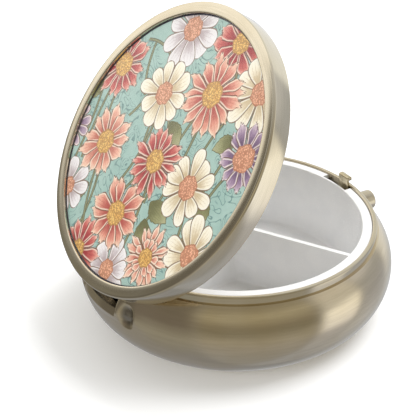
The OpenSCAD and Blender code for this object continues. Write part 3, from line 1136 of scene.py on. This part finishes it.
    def petal(self, flower: Flower, turn: float, length: float, wide: float) -> None:
        """Adds one petal of a flower."""
        phase = self.draw.uniform(0, FULL_TURN)
        lean = self.draw.uniform(-0.5, 0.5)

        def rounded(along: float, across: float) -> float:
            """A spoon that ends in a round tip."""
            swell = 0.34 + 0.66 * sin(pi * min(1.0, along * 0.62)) ** 1.1
            tip = sqrt(max(0.0, 1 - max(0.0, (along - 0.62) / 0.38) ** 2.2))
            return wide * swell * tip

        def toothed(along: float, across: float) -> float:
            """A strap that narrows a little to its tip, with a wavy edge."""
            swell = 0.36 + 0.64 * sin(pi * min(1.0, along * 0.64)) ** 1.2
            tip = 1 - 0.62 * max(0.0, (along - 0.62) / 0.38) ** 1.8
            wave = 1 + 0.07 * sin(along * 15 + phase + 2 * across) * along
            return wide * swell * tip * wave

        def teeth(across: float) -> float:
            """A tip cut in two or three teeth, the middle one longest."""
            return 0.16 * across * across + 0.055 * (1 - cos(2.2 * pi * across + phase))

        shape = (rounded, lean) if flower.kind is Kind.ROUND else (toothed, lean, (14, 14), teeth)
        self.blade(flower.ink, (flower.x, flower.y), turn, length,
                   flower.heart_r * self.under_heart, *shape)

    def bloom(self, flower: Flower) -> None:
        """Adds a flower: two rounds of petals and its heart."""
        uniform = self.draw.uniform
        spacing = FULL_TURN / flower.petals
        out = flower.radius - flower.heart_r * self.under_heart
        wide = flower.radius * sin(spacing / 2) * 0.88
        turn0 = uniform(0, spacing)
        for i in (*range(0, flower.petals, 2), *range(1, flower.petals, 2)):
            turn = turn0 + i * spacing + uniform(-self.petal_turn, self.petal_turn)
            length = out * uniform(*self.petal_length)
            self.petal(flower, turn, length, wide * uniform(*self.petal_width))
        if flower.petals >= 16:
            for i in range(9):
                turn = i * FULL_TURN / 9 + uniform(-0.2, 0.2)
                self.petal(flower, turn, out * 0.52, wide * 1.05)
        self.heart(flower)

    def heart(self, flower: Flower) -> None:
        """Adds the round heart of a flower."""
        bm = self.sheet(flower.heart)
        edge = bm.verts.layers.float["edge"]
        z = self.next_z()
        made = bmesh.ops.create_circle(bm, cap_ends=True, cap_tris=True, segments=36,
                                       radius=flower.heart_r)
        phase = self.draw.uniform(0, FULL_TURN)
        for v in made["verts"]:
            turn = atan2(v.co.y, v.co.x)
            grow = 1 + 0.05 * sin(7 * turn + phase) + 0.03 * sin(11 * turn)
            v[edge] = flower.heart_r - v.co.length
            v.co = self.held(flower.x + v.co.x * grow, flower.y + v.co.y * grow, z)

    def stem(self, x0: float, y0: float, x1: float, y1: float, bow: float) -> None:
        """Adds a bowed stem between two places."""
        turn = atan2(y1 - y0, x1 - x0)
        made = self.blade("stalk", (x0, y0), turn, hypot(x1 - x0, y1 - y0), 0.0,
                          lambda along, across: self.stem_half, cells=(4, 30))
        normal = Vector((-sin(turn), cos(turn), 0))
        edge, along, across = (self.sheet("stalk").verts.layers.float[n] for n in MARKS)
        for v in made:
            v.co += normal * (bow * 4 * v[along] * (1 - v[along]))
            v[edge] = self.stem_half * (1 - abs(v[across]))

    def leaf(self, x: float, y: float, length: float, angle: float) -> None:
        """Adds one toothed leaf, at an angle in degrees."""
        phase = self.draw.uniform(0, FULL_TURN)

        def outline(along: float, across: float) -> float:
            """A pointed oval with teeth."""
            tooth = 0.93 + 0.14 * ((along * 6.5 + phase) % 1.0)
            return 0.31 * length * sin(pi * along ** 0.85) * tooth + 0.01

        self.blade("leaf", (x, y), radians(angle), length, 0.0, outline, 0.25, (10, 40))

    def rim(self) -> None:
        """Adds a thin dark ring round the edge of the window: painted shade for the gap and the
        dome's dark edge.
        """
        bm = self.sheet("painted_rim_shade")
        z = self.next_z()
        ends = [bm.verts.new((r, 0, z)) for r in self.rim_r]
        swept(bm, [*ends, bm.edges.new(ends)], FULL_TURN, 192, True)

    def compose(self) -> dict[str, Object]:
        """Draws stems first, then leaves, then flowers from the edge inwards.

        Returns:
            One object for each ink.
        """
        for stem in self.stems:
            self.stem(*stem)
        for leaf in self.leaves:
            self.leaf(*leaf)
        for flower in self.flowers:
            self.bloom(flower)
        self.rim()
        made = {}
        for ink, bm in self.sheets.items():
            outside = [f for f in bm.faces
                       if all(hypot(v.co.x, v.co.y) > self.hidden_r - 1e-3 for v in f.verts)]
            bmesh.ops.delete(bm, geom=outside, context="FACES")
            to_metres(bm)
            for f in bm.faces:
                f.normal_update()
                if f.normal.z < 0:
                    f.normal_flip()
            made[ink] = to_object(bm, f"ink_{ink}", 180.0)
        LOG.info("print: %d layers of ink", self.level)
        return made


INKS: tuple[Union[PetalInk, DiscInk], ...] = (
    PetalInk("rose", (0.36, 0.025, 0.035), (0.63, 0.14, 0.12), (0.91, 0.52, 0.42),
             (0.98, 0.82, 0.68), (0.22, 0.07, 0.05), (0.34, 0.03, 0.04)),
    PetalInk("coral", (0.47, 0.08, 0.065), (0.80, 0.35, 0.26), (0.96, 0.70, 0.53),
             (1.0, 0.88, 0.72), (0.25, 0.10, 0.06), (0.48, 0.11, 0.08)),
    PetalInk("peach", (0.54, 0.14, 0.10), (0.86, 0.46, 0.34), (0.97, 0.74, 0.58),
             (1.0, 0.89, 0.74), (0.25, 0.11, 0.07), (0.55, 0.17, 0.12)),
    PetalInk("cream", (0.66, 0.53, 0.33), (0.95, 0.88, 0.71), (0.98, 0.94, 0.82),
             (1.0, 0.97, 0.87), (0.24, 0.15, 0.08), (0.54, 0.41, 0.24)),
    PetalInk("chalk", (0.50, 0.41, 0.42), (0.84, 0.80, 0.81), (0.92, 0.90, 0.905),
             (0.97, 0.95, 0.95), (0.27, 0.18, 0.14), (0.50, 0.42, 0.43)),
    PetalInk("lilac", (0.17, 0.10, 0.19), (0.40, 0.28, 0.41), (0.74, 0.60, 0.66),
             (0.95, 0.85, 0.80), (0.20, 0.11, 0.10), (0.19, 0.10, 0.20)),
    PetalInk("leaf", (0.17, 0.17, 0.07), (0.33, 0.33, 0.16), (0.47, 0.46, 0.27),
             (0.40, 0.39, 0.20), (0.08, 0.08, 0.03), (0.12, 0.12, 0.04), 0.14, 0.10, 4.5),
    PetalInk("stalk", (0.27, 0.28, 0.15), (0.31, 0.31, 0.17), (0.28, 0.29, 0.15),
             (0.31, 0.31, 0.17), (0.07, 0.065, 0.035), (0.22, 0.22, 0.11), 0.05, 0.10, 1.0),
    # Not print: painted shade, a dark ring at the window's edge.
    DiscInk("painted_rim_shade", (0.055, 0.06, 0.10), (0.10, 0.09, 0.10), (0.03, 0.03, 0.05)),
    DiscInk("golden", (0.95, 0.66, 0.22), (0.84, 0.50, 0.14), (0.42, 0.20, 0.06)),
    DiscInk("salmon", (0.93, 0.54, 0.36), (0.80, 0.41, 0.26), (0.44, 0.17, 0.09)),
)


# ---- studio


@dataclass(frozen=True)
class Softbox:
    """A rectangular light, aimed at a point."""

    name: str
    azimuth: float
    elevation: float
    distance: float
    size: Pair
    power: float
    aim: Triple = (0.0, 0.0, 0.012)

    def set_up(self) -> None:
        """Adds the light."""
        light = bpy.data.lights.new(self.name, "AREA")
        light.shape = "RECTANGLE"
        light.size, light.size_y = self.size
        light.energy = self.power
        lamp = linked(self.name, light)
        away = direction(self.azimuth, self.elevation)
        lamp.location = Vector(self.aim) + away * self.distance
        lamp.rotation_euler = away.to_track_quat("Z", "Y").to_euler()
        lamp.visible_camera = lamp.visible_glossy = False


def direction(azimuth: float, elevation: float) -> Vector:
    """Unit vector from azimuth and elevation in degrees."""
    a, e = radians(azimuth), radians(elevation)
    return Vector((cos(e) * cos(a), cos(e) * sin(a), sin(e)))


@dataclass(frozen=True)
class Card:
    """A patch of the surroundings, from turn to turn and height to height, in degrees."""

    turns: Pair
    heights: Pair
    colour: Colour
    soft: float = 8.0


@dataclass(frozen=True)
class Wall:
    """An upright strip of the surroundings whose colour changes with height, in degrees."""

    turns: Pair
    stops: tuple[tuple[float, Colour], ...]
    soft: float = 10.0


@dataclass
class Studio:
    """Camera, floor, sky and lights."""

    target: Triple = (2.280, 3.740, 16.59)
    azimuth: float = 148.63
    elevation: float = 30.51
    distance: float = 212.7
    roll: float = 0.45
    lens: float = 116.4
    floor_size: float = 24.0
    ahead: float = 255.0
    floor_dark: Colour = (0.915, 0.925, 0.945)
    floor_light: Colour = (0.93, 0.94, 0.96)
    walls: tuple[Wall, ...] = (
        Wall((-200, -136), (
            (-70, (0.31, 0.32, 0.35)), (-28, (0.39, 0.39, 0.36)), (0, (0.22, 0.20, 0.18)),
            (44, (0.21, 0.19, 0.155)), (60, (0.34, 0.33, 0.30)), (90, (0.60, 0.60, 0.59)))),
        Wall((-136, -48), (
            (-70, (0.38, 0.39, 0.41)), (-40, (0.43, 0.42, 0.40)), (-25, (0.45, 0.43, 0.37)),
            (-3, (0.28, 0.26, 0.20)), (7, (0.31, 0.28, 0.215)), (28, (0.50, 0.465, 0.35)),
            (46, (0.32, 0.29, 0.22)), (90, (0.60, 0.60, 0.59))), 16),
        Wall((-46, -12), (
            (-70, (0.44, 0.47, 0.54)), (-36, (0.57, 0.59, 0.66)), (-24, (1.12, 1.13, 1.16)),
            (-3, (1.26, 1.26, 1.22)), (9, (0.74, 0.74, 0.70)), (32, (0.74, 0.72, 0.66)),
            (50, (0.50, 0.50, 0.48)), (90, (0.62, 0.62, 0.61)))),
        Wall((-12, 22), (
            (-70, (0.43, 0.45, 0.50)), (-40, (0.62, 0.65, 0.71)), (-16, (0.47, 0.49, 0.54)),
            (8, (0.49, 0.51, 0.54)), (22, (0.77, 0.78, 0.82)), (90, (0.62, 0.62, 0.61)))),
        Wall((22, 74), (
            (-70, (0.33, 0.35, 0.39)), (-46, (0.56, 0.59, 0.64)), (-24, (0.66, 0.69, 0.74)),
            (-8, (1.00, 1.03, 1.07)), (30, (0.92, 0.94, 0.92)), (90, (0.80, 0.80, 0.80)))),
        Wall((74, 180), (
            (-70, (0.34, 0.35, 0.38)), (0, (0.38, 0.38, 0.37)), (90, (0.62, 0.62, 0.61)))),
    )
    cards: tuple[Card, ...] = (
        Card((72, 141), (9, 75), (1.24, 1.22, 1.17), 6),
        Card((126, 147), (15.5, 75), (1.24, 1.22, 1.17), 6),
        Card((144, 186), (-30, 27), (0.17, 0.16, 0.14), 6),
        Card((125, 152), (-30, 9.5), (0.24, 0.23, 0.20), 7),
    )
    lights: tuple[Softbox, ...] = (
        Softbox("key", 270, 52, 1, (0.75, 0.75), 9.6),
        Softbox("fill", 100, 24, 0.9, (0.7, 0.7), 4.3),
    )

    def camera(self) -> None:
        """Puts the camera on its tripod."""
        data = bpy.data.cameras.new("camera")
        data.lens = self.lens
        data.sensor_width = 36.0
        data.clip_start = 0.01
        data.clip_end = 100.0
        camera = linked("camera", data)
        away = direction(self.azimuth, self.elevation)
        camera.location = Vector(self.target) * MM + away * self.distance * MM
        upright = away.to_track_quat("Z", "Y").to_matrix().to_4x4()
        turned = upright @ Matrix.Rotation(radians(-self.roll), 4, "Z")
        camera.rotation_euler = turned.to_euler()
        bpy.context.scene.camera = camera

    def floor(self) -> None:
        """Lays a plain white floor, which the metal does not mirror."""
        bm = bmesh.new()
        bmesh.ops.create_grid(bm, x_segments=1, y_segments=1, size=self.floor_size / 2)
        bmesh.ops.translate(bm, verts=bm.verts[:], vec=(0, 0, -0.00002))
        plane = to_object(bm, "floor")
        plane.visible_glossy = False
        sh = Shader("floor_white")
        grain = sh.noise(sh.places(), 0.02, 2.0)
        tone = sh.mix(grain.ramp(0.2, 0.8), self.floor_dark, self.floor_light)
        plane.data.materials.append(sh.surface(
            Base_Color=tone, Roughness=0.9, Emission_Color=(1.0, 1.0, 1.0),
            Emission_Strength=0.12))

    def sky(self) -> None:
        """Surrounds the scene with grey walls and tall white cards, as the metal mirrors them."""
        sh = Shader("studio", sky=True)
        x = sh.node("SeparateXYZ", {0: sh.node("TexCoord", output="Generated")})
        y, z = x.output("Y"), x.output("Z")
        ahead = direction(self.ahead, 0.0)
        turn = (y * ahead.x - x * ahead.y).math("ARCTAN2", x * ahead.x + y * ahead.y)
        turn = turn * degrees(1.0)
        height = z.math("ARCSINE") * degrees(1.0)
        level = height / 180.0 + 0.5
        tone: Union[Signal, Colour] = self.walls[0].stops[0][1]
        for wall in self.walls:
            stops = [(place / 180.0 + 0.5, colour) for place, colour in wall.stops]
            tone = sh.mix(turn.band(wall.turns, wall.soft), tone, sh.gradient(level, stops))
        for card in self.cards:
            share = turn.band(card.turns, card.soft) * height.band(card.heights, card.soft)
            tone = sh.mix(share, tone, card.colour)
        bpy.context.scene.world = sh.finish(sh.node("Background", {"Color": tone, "Strength": 1.0}))

    def set_up(self) -> None:
        """Builds the whole studio."""
        self.camera()
        self.floor()
        self.sky()
        for softbox in self.lights:
            softbox.set_up()
        bpy.context.scene.view_settings.view_transform = "Standard"
        bpy.context.scene.view_settings.look = "None"


# ---- assembly


def dress_hidden() -> None:
    """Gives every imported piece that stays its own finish."""
    steel = DrawnMetal("bright_steel", (0.56, 0.565, 0.575), (0.30, 0.30, 0.31))
    wire = DrawnMetal("spring_wire", (0.50, 0.50, 0.52), (0.22, 0.22, 0.24), 0.22, (4, 4, 4))
    lip = DrawnMetal("lip_bronze", (0.60, 0.52, 0.39), (0.30, 0.25, 0.17), 0.32)
    # The hinge leaf's dark grey is partly painted shade: it is darkened so that the notch it fills
    # reads as shadow.
    leaf = DrawnMetal("leaf_steel_painted_shade", (0.33, 0.34, 0.37), (0.13, 0.135, 0.155), 0.26)
    plate = DrawnMetal("plate_bronze", (0.68, 0.61, 0.48), (0.58, 0.51, 0.39), 0.3,
                       (5.0, 0.4, 0.4))
    brass = DrawnMetal("bush_brass", (0.66, 0.53, 0.30), (0.36, 0.27, 0.14), 0.28)
    finishes = {
        "hinge_bracket": steel, "hinge_pin": steel, "bracket_rivets": steel,
        "latch_guide": steel, "guide_rivets": steel, "stem_washer": steel,
        "torsion_spring": wire, "latch_spring": wire, "hinge_leaf": leaf,
        "lid_backing_plate": plate, "catch_plate": lip, "button_bush": brass,
    }
    made = {finish: finish.make() for finish in dict.fromkeys(finishes.values())}
    for node, finish in finishes.items():
        dress(frame["nodes"][node], made[finish])
        LOG.info("%s keeps its packed shape, in %s", node, finish.name)


def main() -> None:
    """Builds the pill box piece by piece, then the studio."""
    logging.basicConfig(level=logging.INFO, format="%(message)s")
    body_metal = BrushedMetal("bronze_body", line_depth=0.0004, streak_share=0.07).make()
    lid_metal = BrushedMetal("bronze_lid", (0.75, 0.675, 0.53), (0.68, 0.59, 0.43), 0.115).make()
    trim_metal = BrushedMetal("bronze_trim", (0.61, 0.54, 0.41), (0.55, 0.47, 0.33), 0.16).make()
    hook_metal = DrawnMetal("hook_bronze", (0.76, 0.68, 0.50), (0.42, 0.35, 0.22), 0.2).make()
    place(BaseShell().build(), body_metal, Slot.BODY, Body.BASE, ["base_shell"])
    place(NeckCollar().build(), trim_metal, Slot.TRIM, Body.BASE, ["neck_collar"])
    place(Tray().build(), GlossPlastic("white_plastic").make(), Slot.TRAY, Body.BASE, ["pill_tray"])
    latch = Latch()
    place(latch.button(), trim_metal, Slot.TRIM, Body.BUTTON, ["push_button"])
    place(latch.hook(), hook_metal, Slot.HOOK, Body.BUTTON, ["latch_hook"])
    lid = Lid()
    place(lid.ring(), lid_metal, Slot.LID, Body.LID, ["lid_ring"])
    place(lid.card(), PaperGround("mint_ground").make(), Slot.CARD, Body.LID, ["picture_card"])
    place(lid.dome(), ClearResin("clear_resin").make(), Slot.RESIN, Body.LID, ["clear_dome"])
    inks = {ink.name: ink.make() for ink in INKS}
    for ink, piece in Print().compose().items():
        place(piece, inks[ink], Slot.CARD, Body.LID)
    dress_hidden()
    Studio().set_up()
    bpy.context.view_layer.update()


if __name__ == "__main__":
    main()
